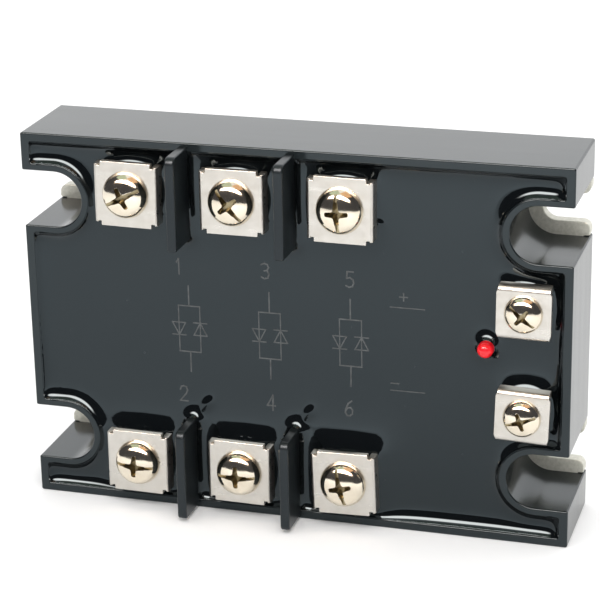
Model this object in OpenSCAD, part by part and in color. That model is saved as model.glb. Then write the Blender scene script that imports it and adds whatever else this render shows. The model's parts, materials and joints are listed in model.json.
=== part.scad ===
// Three-phase solid state relay: a potted power module on an aluminium base plate.
// It stands on one long side: X runs along its length, Z is up, and -Y is its front.
// The origin is the centre of the base plate's rear mounting face, which lies in Y = 0.
// A level is a distance in front of that face, so a point at level L has Y = -L.

/* [Housing] */
// Length of the housing along X
body_length = 104.5; // [102:0.5:108]
// Height of the housing along Z
body_height = 73; // [72:0.5:76]
// Level of the housing's open front rim
rim_level = 20.1; // [19.5:0.1:21]
// Thickness of the outer walls
wall = 1.7; // [1.4:0.1:2]
// Thickness of the walls that wrap around the fixing notches
notch_wall = 1.4; // [1.2:0.1:1.6]
// Width of the four open notches
notch_width = 10.8; // [10:0.1:11.5]
// Radius of the housing's four outer corners
corner_radius = 0.8; // [0.4:0.1:1.2]

/* [Phase barriers] */
// Level of the barriers' front edges
barrier_level = 27.8; // [26:0.1:29]
// Thickness of a barrier
barrier_thickness = 1.8; // [1.4:0.1:2.2]
// Length of a barrier along Z
barrier_length = 17.8; // [16:0.1:19]
// Gap between a barrier's outer end and the long side of the housing
barrier_inset = 0.8; // [0.4:0.1:1.2]

/* [Base plate] */
// Thickness of the aluminium base plate
plate_thickness = 2.5; // [2:0.1:3]
// Width of the fixing slots in the base plate
slot_width = 5.4; // [4.6:0.1:6]
// Distance between the slot centres along X
slot_pitch_x = 92; // [90:0.5:93]
// Distance between the slot centres along Z
slot_pitch_z = 47.6; // [47:0.1:48.5]

/* [Potting] */
// Level of the resin surface
resin_level = 19.4; // [18.8:0.1:19.8]

/* [Power terminals] */
// Distance between neighbouring power terminals
power_pitch = 20.4; // [20:0.1:21]
// Position of the middle column of power terminals along X
power_centre_x = -10; // [-11:0.1:-9]
// Distance of each row of power terminals from the centre line
power_row = 26.8; // [26:0.1:27.2]
// Diameter of a power terminal post
power_post_d = 8; // [7:0.1:8.4]
// Side of a power clamp plate
power_clamp_size = 12.4; // [11.5:0.1:13]
// Head diameter of a power terminal screw
power_head_d = 8.8; // [8:0.1:9.2]
// Nominal thread diameter of a power terminal screw
power_thread_d = 4; // [4:4]

/* [Control terminals] */
// Position of the control terminals along X
control_x = 44; // [43.6:0.1:44.2]
// Distance of each control terminal from the centre line
control_row = 10; // [9.6:0.1:10.4]
// Diameter of a control terminal post
control_post_d = 6.6; // [6:0.1:7]
// Side of a control clamp plate
control_clamp_size = 10; // [9.4:0.1:10.2]
// Head diameter of a control terminal screw
control_head_d = 7; // [6.4:0.1:7.2]
// Nominal thread diameter of a control terminal screw
control_thread_d = 3.5; // [3.5:3.5]

/* [Terminal hardware] */
// Level of the posts' front faces, where the clamp plates seat
seat_level = 22.2; // [21.8:0.1:22.4]
// Sheet thickness of the clamp plates
clamp_thickness = 1.2; // [1:0.1:1.4]
// Depth of the clamp plates over their folded flanges
clamp_depth = 2.8; // [2.4:0.1:2.9]
// Height of a power screw's head
power_head_h = 2.7; // [2.4:0.1:3]
// Height of a control screw's head
control_head_h = 2.2; // [2:0.1:2.4]

/* [Indicator] */
// Position of the indicator lamp along X
lamp_x = 36.6; // [36:0.1:37]
// Position of the indicator lamp along Z
lamp_z = 1.5; // [1:0.1:2]
// Diameter of the lamp's lens
lamp_d = 3; // [3:3]
// Level of the lens tip
lamp_level = 22; // [21:0.1:22.5]

/* [Control board] */
// Level of the board's rear face
board_level = 11; // [10.6:0.1:11.4]
// Thickness of the board
board_thickness = 1.6; // [1.6:1.6]
// Height of the board along Z
board_height = 31; // [30:0.5:31.5]

/* [Hidden] */
$fn = 64;
PHASES = ["u", "v", "w"];
POWER_TERMINALS = ["u", "v", "w", "l1", "l2", "l3"];
TERMINALS = concat(POWER_TERMINALS, ["plus", "minus"]);

housing_back = 0.3;
pocket_wall = 1.2;
fit_gap = 0.1;
plate_inset = pocket_wall + fit_gap;
slot_x = slot_pitch_x / 2;
slot_z = slot_pitch_z / 2;
half_length = body_length / 2;
half_height = body_height / 2;
open_end = half_length - slot_x;
mouth_radius = 1.5;
barrier_root = 12;
barrier_corner_r = 1.5;
upper_barrier_inner_r = 0.2;
lower_barrier_outer_r = 0.8;
barrier_outer_z = half_height - barrier_inset;
barrier_inner_z = barrier_outer_z - barrier_length;

is_power = [for (i = [0 : 7]) i < 6];
terminal_x = [for (i = [0 : 7]) i < 6 ? power_centre_x + (i % 3 - 1) * power_pitch : control_x];
terminal_z = [for (i = [0 : 7]) i < 3 ? power_row : i < 6 ? -power_row : (i == 6 ? 1 : -1) * control_row];
// How far each clamp plate and screw slot happens to be turned, in degrees
clamp_turn = [-0.8, 0, -0.4, -0.5, -0.5, 1.6, -0.6, -2];
slot_turn = [27, -51, -87, -4, 0, -77, -40, 19];
clamp_front = seat_level + clamp_thickness;
power_corner_notch = 1.15;
control_corner_notch = 0.7;
flange_inset = 0.6;
bend_r = clamp_thickness + 0.3;
clamp_hole_play = 0.6;
running_gap = 0.05;
thread_length = 8;
hole_end_gap = 0.5;
// Proportions of a screw head and its recess
rim_share = 0.4;
slot_width_share = 0.125;
cross_width_share = 0.52;
slot_depth_share = 0.35;
cross_depth_share = 0.7;

substrate_width = 18;
substrate_height = 22;
substrate_thickness = 1.2;
chip_size = 7;
chip_thickness = 0.5;
chip_row = 4.5;
chip_level = plate_thickness + substrate_thickness;
strap_width = 6;
strap_thickness = 0.8;
strap_level = 8;
strap_foot_z = 10.2;
strap_foot_length = 1.6;
gate_wire_d = 0.6;
lead_size = 0.6;
lead_reach = 1.2;
board_left = -40;
board_right = 49.2;
board_front = board_level + board_thickness;

// Extrudes a front-view outline, drawn as X and Z, between two levels.
module layer(from, to) {
    translate([0, -from, 0]) rotate([90, 0, 0]) linear_extrude(to - from) children();
}

// Extrudes an outline drawn as Y and Z along X, centred on x.
module slice(x, thickness) {
    translate([x - thickness / 2, 0, 0]) rotate([90, 0, 90]) linear_extrude(thickness) children();
}

// A rod along Y between two levels.
module rod(d, from, to) {
    translate([0, -from, 0]) rotate([90, 0, 0]) cylinder(d = d, h = to - from);
}

// A block with its centre at x and z, between two levels.
module block(x, z, width, height, from, to) {
    layer(from, to) translate([x, z]) square([width, height], center = true);
}

// What a square corner loses when it is rounded; the corner is at the origin, filling -X and -Y.
module corner_waste(r) {
    difference() {
        translate([-r, -r]) square(2 * r);
        translate([-r, -r]) circle(r);
    }
}

module at_terminal(i) {
    translate([terminal_x[i], 0, terminal_z[i]]) children();
}

// Four slots that open to the left and right ends, in the front view.
module end_slots(width) {
    for (sx = [-1, 1], sz = [-1, 1]) translate([sx * slot_x, sz * slot_z]) {
        circle(d = width);
        translate([sx * body_length / 4, 0]) square([body_length / 2, width], center = true);
    }
}

module housing_outline() {
    difference() {
        square([body_length, body_height], center = true);
        end_slots(notch_width);
        for (sx = [-1, 1], sz = [-1, 1])
            scale([sx, sz]) translate([half_length, half_height]) corner_waste(corner_radius);
    }
}

module cavity_outline() {
    difference() {
        square([body_length - 2 * wall, body_height - 2 * wall], center = true);
        end_slots(notch_width + 2 * notch_wall);
    }
}

// One phase barrier; side is 1 for the upper row and -1 for the lower row.
module barrier(x, side, outer_radius, inner_radius) {
    slice(x, barrier_thickness) scale([1, side]) difference() {
        translate([-barrier_level, barrier_inner_z]) square([barrier_level - barrier_root, barrier_length]);
        translate([-barrier_level, barrier_outer_z]) mirror([1, 0]) corner_waste(outer_radius);
        translate([-barrier_level, barrier_inner_z]) mirror([1, 0]) mirror([0, 1]) corner_waste(inner_radius);
    }
}

module barriers() {
    for (k = [-1, 1]) {
        x = power_centre_x + k * power_pitch / 2;
        barrier(x, 1, barrier_corner_r, upper_barrier_inner_r);
        barrier(x, -1, lower_barrier_outer_r, barrier_corner_r);
    }
}

module housing() color([0.17, 0.19, 0.2]) {
    difference() {
        layer(housing_back, rim_level) housing_outline();
        layer(plate_thickness, rim_level + 1) cavity_outline();
        layer(-1, plate_thickness)
            square([body_length - 2 * pocket_wall, body_height - 2 * pocket_wall], center = true);
    }
    barriers();
}

// The plate fills the housing's rear pocket, and its ears reach out through the notches.
module base_plate() color([0.75, 0.74, 0.7]) layer(0, plate_thickness) {
    ear_width = notch_width - 2 * fit_gap;
    ear_end = half_length - fit_gap;
    difference() {
        union() {
            square([body_length - 2 * plate_inset, body_height - 2 * plate_inset], center = true);
            for (sz = [-1, 1]) translate([0, sz * slot_z]) square([2 * ear_end, ear_width], center = true);
        }
        end_slots(slot_width);
        for (sx = [-1, 1], sz = [-1, 1], lip = [-1, 1])
            translate([sx * ear_end, sz * slot_z + lip * slot_width / 2])
                scale([sx, -lip]) corner_waste(mouth_radius);
    }
}

module potting_compound() color([0.1, 0.11, 0.12]) difference() {
    layer(plate_thickness, resin_level) cavity_outline();
    barriers();
    embedded_parts();
}

// Everything that the resin surrounds, with the posts' screw holes closed.
module embedded_parts() {
    for (i = [0 : 7]) at_terminal(i) post_body(i);
    for (i = [0 : 2]) {
        ceramic_substrate(i);
        thyristor_pair(i);
        optocoupler(i);
    }
    for (i = [0 : 5]) busbar(i);
    indicator_lens();
    indicator_leads();
    control_board();
    gate_wires();
    gate_resistors();
    snubber_resistors();
    snubber_capacitors();
    input_diode();
    input_resistor();
    input_transistor();
    control_straps();
}

function post_d(i) = is_power[i] ? power_post_d : control_post_d;
function thread_d(i) = is_power[i] ? power_thread_d : control_thread_d;
function post_foot(i) = is_power[i] ? strap_level + strap_thickness : board_front + strap_thickness;
// A control post is shorter than a power post, so its screw is shorter too.
function screw_length(i) = is_power[i] ? thread_length : thread_length - 1;

module post_body(i) {
    rod(post_d(i), post_foot(i), seat_level);
}

module terminal_post(i) color([0.78, 0.74, 0.62]) at_terminal(i) difference() {
    post_body(i);
    rod(thread_d(i) + 2 * running_gap, clamp_front - screw_length(i) - hole_end_gap, seat_level + 1);
}

// A square plate with two folded flanges; a power clamp's point along Z, a control clamp's along X.
module clamp_plate(i) color([0.86, 0.85, 0.8]) at_terminal(i) rotate([0, -clamp_turn[i], 0]) {
    size = is_power[i] ? power_clamp_size : control_clamp_size;
    tab = size - 2 * (is_power[i] ? power_corner_notch : control_corner_notch);
    flange = size - 2 * flange_inset;
    difference() {
        rotate([0, is_power[i] ? 0 : 90, 0]) {
            translate([0, 0, -flange / 2]) linear_extrude(flange) difference() {
                translate([-size / 2, -clamp_front]) square([size, clamp_depth]);
                translate([clamp_thickness - size / 2, clamp_thickness - clamp_front])
                    square([size - 2 * clamp_thickness, clamp_depth]);
                for (s = [-1, 1]) translate([s * size / 2, -clamp_front]) scale([s, -1]) corner_waste(bend_r);
            }
            block(0, 0, tab, size, seat_level, clamp_front);
        }
        rod(thread_d(i) + clamp_hole_play, seat_level - 1, clamp_front + 1);
    }
}

module terminal_screw(i) color([0.84, 0.82, 0.76]) at_terminal(i) rotate([0, -slot_turn[i], 0]) {
    head_d = is_power[i] ? power_head_d : control_head_d;
    head_h = is_power[i] ? power_head_h : control_head_h;
    rim_h = rim_share * head_h;
    dome_h = head_h - rim_h;
    dome_r = (head_d * head_d / 4 + dome_h * dome_h) / (2 * dome_h);
    head_top = clamp_front + head_h;
    slot = head_d * slot_width_share;
    cross = head_d * cross_width_share;
    cross_floor = head_top - cross_depth_share * head_h;
    difference() {
        intersection() {
            rod(head_d, clamp_front, head_top);
            translate([0, dome_r - head_top, 0]) sphere(dome_r);
        }
        block(0, 0, head_d + 1, slot, head_top - slot_depth_share * head_h, head_top + 1);
        block(0, 0, cross, slot, cross_floor, head_top + 1);
        block(0, 0, slot, cross, cross_floor, head_top + 1);
    }
    rod(thread_d(i), clamp_front - screw_length(i), clamp_front);
}

function phase_x(i) = power_centre_x + (i - 1) * power_pitch;

module ceramic_substrate(i) color([0.93, 0.92, 0.88]) {
    block(phase_x(i), 0, substrate_width, substrate_height, plate_thickness, chip_level);
}

module thyristor_pair(i) color([0.4, 0.42, 0.45]) for (s = [-1, 1]) {
    block(phase_x(i), s * chip_row, chip_size, chip_size, chip_level, chip_level + chip_thickness);
}

// A stepped copper strap from the ceramic's edge pad up to the foot of its post.
module busbar(i) color([0.78, 0.45, 0.28]) {
    side = i < 3 ? 1 : -1;
    arm_end = power_row + 3;
    slice(terminal_x[i], strap_width) scale([1, side]) {
        translate([-chip_level - strap_thickness, strap_foot_z - strap_foot_length])
            square([strap_thickness, strap_foot_length + strap_thickness]);
        translate([-strap_level - strap_thickness, strap_foot_z])
            square([strap_level + strap_thickness - chip_level, strap_thickness]);
        translate([-strap_level - strap_thickness, strap_foot_z])
            square([strap_thickness, arm_end - strap_foot_z]);
    }
}

module at_lamp() {
    translate([lamp_x, 0, lamp_z]) children();
}

module indicator_lens() color([0.85, 0.06, 0.08]) at_lamp() {
    flange_level = 16.8;
    dome_level = lamp_level - lamp_d / 2;
    rod(lamp_d + 0.8, flange_level, flange_level + 0.8);
    rod(lamp_d, flange_level, dome_level);
    translate([0, -dome_level, 0]) sphere(d = lamp_d);
}

module indicator_leads() color([0.7, 0.7, 0.7]) at_lamp() {
    for (s = [-1, 1]) block(s * 0.95, 0, 0.5, 0.5, board_front, 16.8);
}

module control_board() color([0.1, 0.35, 0.2]) {
    board_length = board_right - board_left;
    block(board_left + board_length / 2, 0, board_length, board_height, board_level, board_front);
}

module optocoupler(i) color([0.9, 0.9, 0.88]) {
    block(phase_x(i), 2.5, 6.5, 8.8, board_front, board_front + 3.4);
}

// Two wires for each phase, from the board's rear face down to the chips.
module gate_wires() color([0.8, 0.6, 0.2]) for (i = [0 : 2], s = [-1, 1]) {
    translate([phase_x(i), 0, s * chip_row]) rod(gate_wire_d, chip_level + chip_thickness, board_level);
}

// A round part that lies along X on the board, with a bent lead at each end.
module axial(x, z, d, length) {
    lead_level = board_front + d / 2;
    lead_end = length / 2 + lead_reach;
    translate([x, -lead_level, z]) rotate([0, 90, 0]) cylinder(d = d, h = length, center = true);
    for (s = [-1, 1]) {
        block(x + s * (lead_end + length / 2) / 2, z, lead_reach, lead_size,
            lead_level - lead_size / 2, lead_level + lead_size / 2);
        block(x + s * (lead_end - lead_size / 2), z, lead_size, lead_size, board_front, lead_level);
    }
}

module gate_resistors() color([0.3, 0.5, 0.7]) for (i = [0 : 2]) axial(phase_x(i), 11.5, 1.8, 5);

module snubber_resistors() color([0.75, 0.65, 0.5]) for (i = [0 : 2]) axial(phase_x(i), -12.5, 2.4, 7);

module snubber_capacitors() color([0.75, 0.55, 0.15]) for (i = [0 : 2]) {
    block(phase_x(i), -7, 10, 4, board_front, board_front + 5);
}

module input_diode() color([0.1, 0.1, 0.1]) axial(28, -9, 2.6, 5);

module input_resistor() color([0.7, 0.6, 0.45]) axial(28, 9, 2.4, 6.5);

module input_transistor() color([0.12, 0.12, 0.12]) {
    block(28, 1, 4.4, 3.4, board_front, board_front + 4.6);
}

// Short copper pads that join the control posts' feet to the board.
module control_straps() color([0.78, 0.45, 0.28]) for (s = [-1, 1]) {
    block(control_x - 2, s * control_row, 9, 5, board_front, board_front + strap_thickness);
}

housing();
base_plate();
potting_compound();
for (i = [0 : 7]) {
    terminal_post(i);
    clamp_plate(i);
    terminal_screw(i);
}
for (i = [0 : 5]) {
    busbar(i);
}
for (i = [0 : 2]) {
    ceramic_substrate(i);
    thyristor_pair(i);
    optocoupler(i);
}
indicator_lens();
indicator_leads();
control_board();
gate_wires();
gate_resistors();
snubber_resistors();
snubber_capacitors();
input_diode();
input_resistor();
input_transistor();
control_straps();
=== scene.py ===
import json
import math

import bmesh
import bpy
from mathutils import Matrix, Vector
from mathutils.geometry import delaunay_2d_cdt


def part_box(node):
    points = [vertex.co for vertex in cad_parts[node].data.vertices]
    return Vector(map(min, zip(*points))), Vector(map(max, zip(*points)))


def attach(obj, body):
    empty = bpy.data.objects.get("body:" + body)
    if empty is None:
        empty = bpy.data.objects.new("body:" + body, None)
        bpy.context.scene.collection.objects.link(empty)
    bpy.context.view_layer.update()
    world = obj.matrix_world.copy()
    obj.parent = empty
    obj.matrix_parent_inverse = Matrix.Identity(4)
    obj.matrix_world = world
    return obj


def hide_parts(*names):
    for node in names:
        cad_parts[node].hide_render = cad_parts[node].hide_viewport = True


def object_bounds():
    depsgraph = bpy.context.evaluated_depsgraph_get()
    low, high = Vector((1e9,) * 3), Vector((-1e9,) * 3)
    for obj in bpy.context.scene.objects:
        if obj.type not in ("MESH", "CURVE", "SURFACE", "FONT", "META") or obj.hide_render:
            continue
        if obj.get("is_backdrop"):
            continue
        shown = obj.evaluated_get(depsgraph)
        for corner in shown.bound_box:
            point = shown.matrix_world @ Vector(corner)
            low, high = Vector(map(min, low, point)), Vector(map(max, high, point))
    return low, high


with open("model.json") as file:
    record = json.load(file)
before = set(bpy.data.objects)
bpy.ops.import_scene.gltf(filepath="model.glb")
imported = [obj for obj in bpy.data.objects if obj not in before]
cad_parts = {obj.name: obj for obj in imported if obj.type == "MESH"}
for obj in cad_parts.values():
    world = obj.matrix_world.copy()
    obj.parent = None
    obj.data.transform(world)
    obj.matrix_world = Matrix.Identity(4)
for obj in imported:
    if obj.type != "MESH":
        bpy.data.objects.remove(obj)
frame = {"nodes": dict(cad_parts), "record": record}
CAD_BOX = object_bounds()

# Shapes are drawn in millimetres, as X, Z and a level, which is a distance in front of Y = 0.
MM = 0.001
POWER = ("u", "v", "w", "l1", "l2", "l3")
CONTROL = ("plus", "minus")
TERMINALS = POWER + CONTROL
SHARP_ANGLE = math.radians(35)


def node_box(node):
    """A CAD node's lowest and highest X, Z and level, in millimetres."""
    low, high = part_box(node)
    return {"x": (low.x / MM, high.x / MM), "z": (low.z / MM, high.z / MM), "level": (-high.y / MM, -low.y / MM)}


def middle(pair):
    return (pair[0] + pair[1]) / 2


HOUSING = node_box("housing")
PLATE = node_box("base_plate")
RESIN = node_box("potting_compound")
HALF_X, HALF_Z = HOUSING["x"][1], HOUSING["z"][1]
HOUSING_BACK, BARRIER_LEVEL = HOUSING["level"]
RIM_LEVEL = 20.1
PLATE_LEVEL = PLATE["level"][1]
RESIN_LEVEL = RESIN["level"][1]

# The wall round the cavity, the thinner one round the base plate, and the notches near the corners
WALL = HALF_X - RESIN["x"][1]
POCKET_WALL = 1.2
NOTCH_X, NOTCH_Z = 46.0, 23.8
NOTCH_R = 5.4
NOTCH_WALL = 1.4
BUMP_R = NOTCH_R + NOTCH_WALL

# How far each clamp and screw slot happens to be turned, in degrees
CLAMP_TURN = dict(zip(TERMINALS, (-0.8, 0, -0.4, -0.5, -0.5, 1.6, -0.6, -2)))
SLOT_TURN = dict(zip(TERMINALS, (27, -51, -87, -4, 0, -77, -40, 19)))


# ---------------- outlines

def arc(cx, cz, r, start, end, steps):
    """Points on an arc from start to end, in degrees."""
    out = []
    for i in range(steps + 1):
        a = math.radians(start + (end - start) * i / steps)
        out.append((cx + r * math.cos(a), cz + r * math.sin(a)))
    return out


def circle(cx, cz, r, steps=48):
    return arc(cx, cz, r, 0, 360, steps)[:-1]


def rounded(corners, steps=6):
    """An outline from (x, z, radius) corners, anticlockwise."""
    out = []
    for i, (x, z, r) in enumerate(corners):
        p = Vector((x, z))
        if r <= 0:
            out.append((x, z))
            continue
        back = (Vector(corners[i - 1][:2]) - p).normalized()
        on = (Vector(corners[(i + 1) % len(corners)][:2]) - p).normalized()
        half = back.angle(on) / 2
        centre = p + (back + on).normalized() * (r / math.sin(half))
        first, last = p + back * (r / math.tan(half)), p + on * (r / math.tan(half))
        a = math.atan2(first.y - centre.y, first.x - centre.x)
        b = math.atan2(last.y - centre.y, last.x - centre.x)
        sweep = (b - a + math.pi) % (2 * math.pi) - math.pi
        for k in range(steps + 1):
            t = a + sweep * k / steps
            out.append((centre.x + r * math.cos(t), centre.y + r * math.sin(t)))
    return out


def sharp(points):
    """The points as corners with no rounding."""
    return [(x, z, 0) for x, z in points]


def inset(loop, d):
    """The outline moved inwards by d, or outwards where d is negative."""
    if not d:
        return list(loop)
    out, n = [], len(loop)
    for i in range(n):
        p, a, b = Vector(loop[i]), Vector(loop[i - 1]), Vector(loop[(i + 1) % n])
        u, v = (p - a).normalized(), (b - p).normalized()
        nu, nv = Vector((-u.y, u.x)), Vector((-v.y, v.x))
        m = nu + nv
        k = d / max(m.dot(nu), 0.2)
        out.append((p.x + m.x * k, p.y + m.y * k))
    return out


# ---------------- solids

def placer(cx=0.0, cz=0.0, turn=0.0):
    """Takes (x, z, level) about a terminal's centre, turned anticlockwise as seen from the front, into the frame."""
    c, s = math.cos(math.radians(turn)), math.sin(math.radians(turn))

    def place(u, v, level):
        return Vector(((cx + u * c - v * s) * MM, -level * MM, (cz + u * s + v * c) * MM))

    return place


FRONT = placer()


def along_x(x):
    """Takes (level, z, distance along X) into the frame, for outlines drawn from the side."""
    return lambda u, v, w: Vector(((x + w) * MM, -u * MM, v * MM))


def new_piece(name, bm, smooth=True):
    """Makes an object of bm, with its faces turned outwards."""
    bmesh.ops.recalc_face_normals(bm, faces=bm.faces)
    me = bpy.data.meshes.new(name)
    bm.to_mesh(me)
    bm.free()
    ob = bpy.data.objects.new(name, me)
    bpy.context.scene.collection.objects.link(ob)
    if smooth:
        shade(ob)
    return ob


def shade(ob, angle=SHARP_ANGLE):
    ob.data.shade_smooth()
    ob.data.set_sharp_from_angle(angle=angle)


def round_edge(level, r, sign, steps=3):
    """Rings over a rounded edge. sign 1 ends at the level, -1 starts there."""
    out = []
    for i in range(steps + 1):
        t = math.pi / 2 * i / steps
        out.append((level - sign * r * (1 - math.sin(t)), r * (1 - math.cos(t))))
    return out if sign > 0 else out[::-1]


def slab_rings(back, front, r_back, r_front, steps=3):
    """The rings of a slab with rounded edges."""
    rings = round_edge(back, r_back, -1, steps) if r_back else [(back, 0)]
    return rings + (round_edge(front, r_front, 1, steps) if r_front else [(front, 0)])


def add_stack(bm, loop, rings, place):
    """Adds a closed solid to bm: the outline at each ring's level, moved inwards by the ring's inset."""
    rows = [[bm.verts.new(place(u, v, level)) for u, v in inset(loop, d)] for level, d in rings]
    n = len(loop)
    for a, b in zip(rows, rows[1:]):
        for i in range(n):
            bm.faces.new((a[i], a[(i + 1) % n], b[(i + 1) % n], b[i]))
    for row in (rows[0][::-1], rows[-1]):
        bm.faces.new(row)


def stack(name, loop, rings, place=FRONT):
    """A piece made of one such solid."""
    bm = bmesh.new()
    add_stack(bm, loop, rings, place)
    return new_piece(name, bm)


def lathe(name, profile, place, steps=64):
    """A closed solid turned about the terminal's axis from (radius, level) points that start and end on it."""
    bm = bmesh.new()
    rows = []
    for r, level in profile:
        if r <= 1e-6:
            rows.append([bm.verts.new(place(0, 0, level))])
        else:
            rows.append([bm.verts.new(place(u, v, level)) for u, v in circle(0, 0, r, steps)])
    for a, b in zip(rows, rows[1:]):
        for i in range(steps):
            j = (i + 1) % steps
            if len(a) == 1:
                bm.faces.new((a[0], b[i], b[j]))
            elif len(b) == 1:
                bm.faces.new((a[i], a[j], b[0]))
            else:
                bm.faces.new((a[i], a[j], b[j], b[i]))
    return new_piece(name, bm)


def cut(target, cutter, operation="DIFFERENCE"):
    """Cuts or joins a solid; the new faces keep the cutter's material, or take the target's."""
    if target.data.materials and not cutter.data.materials:
        cutter.data.materials.append(target.data.materials[0])
    mod = target.modifiers.new("cut", "BOOLEAN")
    mod.solver = "MANIFOLD"
    mod.operation = operation
    mod.object = cutter
    mod.material_mode = "TRANSFER"
    bake(target)
    bpy.data.objects.remove(cutter)


def bake(ob):
    """Applies an object's modifiers."""
    bpy.context.view_layer.update()
    graph = bpy.context.evaluated_depsgraph_get()
    old = ob.data
    ob.data = bpy.data.meshes.new_from_object(ob.evaluated_get(graph))
    ob.modifiers.clear()
    ob.data.name = ob.name
    bpy.data.meshes.remove(old)


def soften(ob, width, segments=2, angle=SHARP_ANGLE):
    """Rounds the edges that turn by more than the angle."""
    mod = ob.modifiers.new("soften", "BEVEL")
    mod.width = width * MM
    mod.segments = segments
    mod.limit_method = "ANGLE"
    mod.angle_limit = angle


def even_normals(ob):
    """Flat faces stay flat in reflections beside their rounded edges."""
    mod = ob.modifiers.new("even normals", "WEIGHTED_NORMAL")
    mod.keep_sharp = True


# ---------------- materials

def shader(name, base, rough, metallic=0.0, **sockets):
    """A material with a Principled shader; returns the material, its nodes and the shader."""
    mat = bpy.data.materials.new(name)
    mat.use_nodes = True
    tree = mat.node_tree
    bsdf = tree.nodes["Principled BSDF"]
    bsdf.inputs["Base Color"].default_value = (*base, 1)
    bsdf.inputs["Roughness"].default_value = rough
    bsdf.inputs["Metallic"].default_value = metallic
    for key, value in sockets.items():
        bsdf.inputs[key.replace("_", " ")].default_value = value
    return mat, tree, bsdf


def own_coords(tree, stretch):
    """The piece's own coordinates, in metres, each multiplied by a number."""
    coords = tree.nodes.new("ShaderNodeTexCoord")
    mapping = tree.nodes.new("ShaderNodeMapping")
    mapping.inputs["Scale"].default_value = stretch
    tree.links.new(coords.outputs["Object"], mapping.inputs["Vector"])
    return mapping.outputs["Vector"]


def noise(tree, scale, detail=3.0, rough=0.5, stretch=(1, 1, 1)):
    """Noise over the piece's own coordinates; scale is in features a metre."""
    tex = tree.nodes.new("ShaderNodeTexNoise")
    tex.inputs["Scale"].default_value = scale
    tex.inputs["Detail"].default_value = detail
    tex.inputs["Roughness"].default_value = rough
    tree.links.new(own_coords(tree, stretch), tex.inputs["Vector"])
    return tex.outputs["Fac"]


def ramp(tree, fac, stops):
    """A colour ramp over (position, colour) stops; a colour is a grey value or three numbers."""
    node = tree.nodes.new("ShaderNodeValToRGB")
    elements = node.color_ramp.elements
    while len(elements) < len(stops):
        elements.new(0.5)
    for e, (pos, colour) in zip(elements, stops):
        e.position = pos
        e.color = (*((colour,) * 3 if isinstance(colour, (int, float)) else colour), 1)
    tree.links.new(fac, node.inputs["Fac"])
    return node.outputs["Color"]


def bump(tree, bsdf, height, strength, distance, after=None):
    """Gives the shader a bump from a height, on top of an earlier bump if there is one."""
    node = tree.nodes.new("ShaderNodeBump")
    node.inputs["Strength"].default_value = strength
    node.inputs["Distance"].default_value = distance
    tree.links.new(height, node.inputs["Height"])
    if after:
        tree.links.new(after.outputs["Normal"], node.inputs["Normal"])
    tree.links.new(node.outputs["Normal"], bsdf.inputs["Normal"])
    return node


# A Mix node's sockets when it mixes colours
MIX_FACTOR, MIX_A, MIX_B, MIX_RESULT = 0, 6, 7, 2


def mix_colour(tree, fac, a, b, blend="MIX"):
    """Mixes two colours; each input is a socket or a plain value."""
    node = tree.nodes.new("ShaderNodeMix")
    node.data_type = "RGBA"
    node.blend_type = blend
    for key, value in ((MIX_FACTOR, fac), (MIX_A, a), (MIX_B, b)):
        if isinstance(value, bpy.types.NodeSocket):
            tree.links.new(value, node.inputs[key])
        else:
            node.inputs[key].default_value = (*value, 1) if isinstance(value, tuple) else value
    return node.outputs[MIX_RESULT]


def moulded_plastic(name, rough_low, rough_high, tint):
    """Slate-black moulded plastic: a fine spark texture, slightly cloudy, with faint flow marks."""
    mat, tree, bsdf = shader(name, (0.008, 0.0105, 0.0115), rough_high, IOR=1.5)
    bsdf.inputs["Specular Tint"].default_value = (*tint, 1)
    clouds = noise(tree, 90, 4, 0.6)
    colour = ramp(tree, clouds, [(0.3, (0.0065, 0.009, 0.01)), (0.7, (0.0095, 0.012, 0.013))])
    tree.links.new(colour, bsdf.inputs["Base Color"])
    # flow marks run along the long faces and down the ends
    marks = noise(tree, 420, 4, 0.55, (0.06, 1, 0.06))
    tree.links.new(ramp(tree, marks, [(0.3, rough_low), (0.7, rough_high)]), bsdf.inputs["Roughness"])
    grain = bump(tree, bsdf, noise(tree, 5200, 2, 0.5), 0.06, 0.00003)
    bump(tree, bsdf, noise(tree, 120, 2, 0.4), 0.05, 0.0002, after=grain)
    return mat


def potting_resin():
    """Black epoxy poured level: mirror gloss with slow ripples and a few dust specks."""
    mat, tree, bsdf = shader("potting_resin", (0.0025, 0.003, 0.0035), 0.045, IOR=1.54)
    bsdf.inputs["Specular Tint"].default_value = (0.7, 0.85, 0.93, 1)
    clouds = noise(tree, 60, 3, 0.5)
    colour = ramp(tree, clouds, [(0.3, (0.002, 0.0026, 0.003)), (0.7, (0.003, 0.0036, 0.004))])
    specks = ramp(tree, noise(tree, 900, 2, 0.5), [(0.77, 0.0), (0.82, 1.0)])
    tree.links.new(mix_colour(tree, specks, colour, (0.035, 0.038, 0.04)), bsdf.inputs["Base Color"])
    haze = noise(tree, 45, 4, 0.6)
    tree.links.new(ramp(tree, haze, [(0.35, 0.035), (0.7, 0.075)]), bsdf.inputs["Roughness"])
    bump(tree, bsdf, noise(tree, 70, 2, 0.4), 0.03, 0.0003)
    return mat


def plated(name, light, dark, rough, grain_scale, stretch=(1, 1, 1)):
    """Plated steel: a bright, slightly mottled coat with a fine directional grain and duller patches."""
    mat, tree, bsdf = shader(name, light, rough, metallic=1.0)
    mottle = noise(tree, 420, 5, 0.6)
    tree.links.new(ramp(tree, mottle, [(0.3, dark), (0.62, light)]), bsdf.inputs["Base Color"])
    patches = noise(tree, 900, 4, 0.6, stretch)
    tree.links.new(ramp(tree, patches, [(0.3, rough * 0.8), (0.75, rough * 1.5)]), bsdf.inputs["Roughness"])
    bump(tree, bsdf, noise(tree, grain_scale, 3, 0.6, stretch), 0.1, 0.00002)
    return mat


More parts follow.
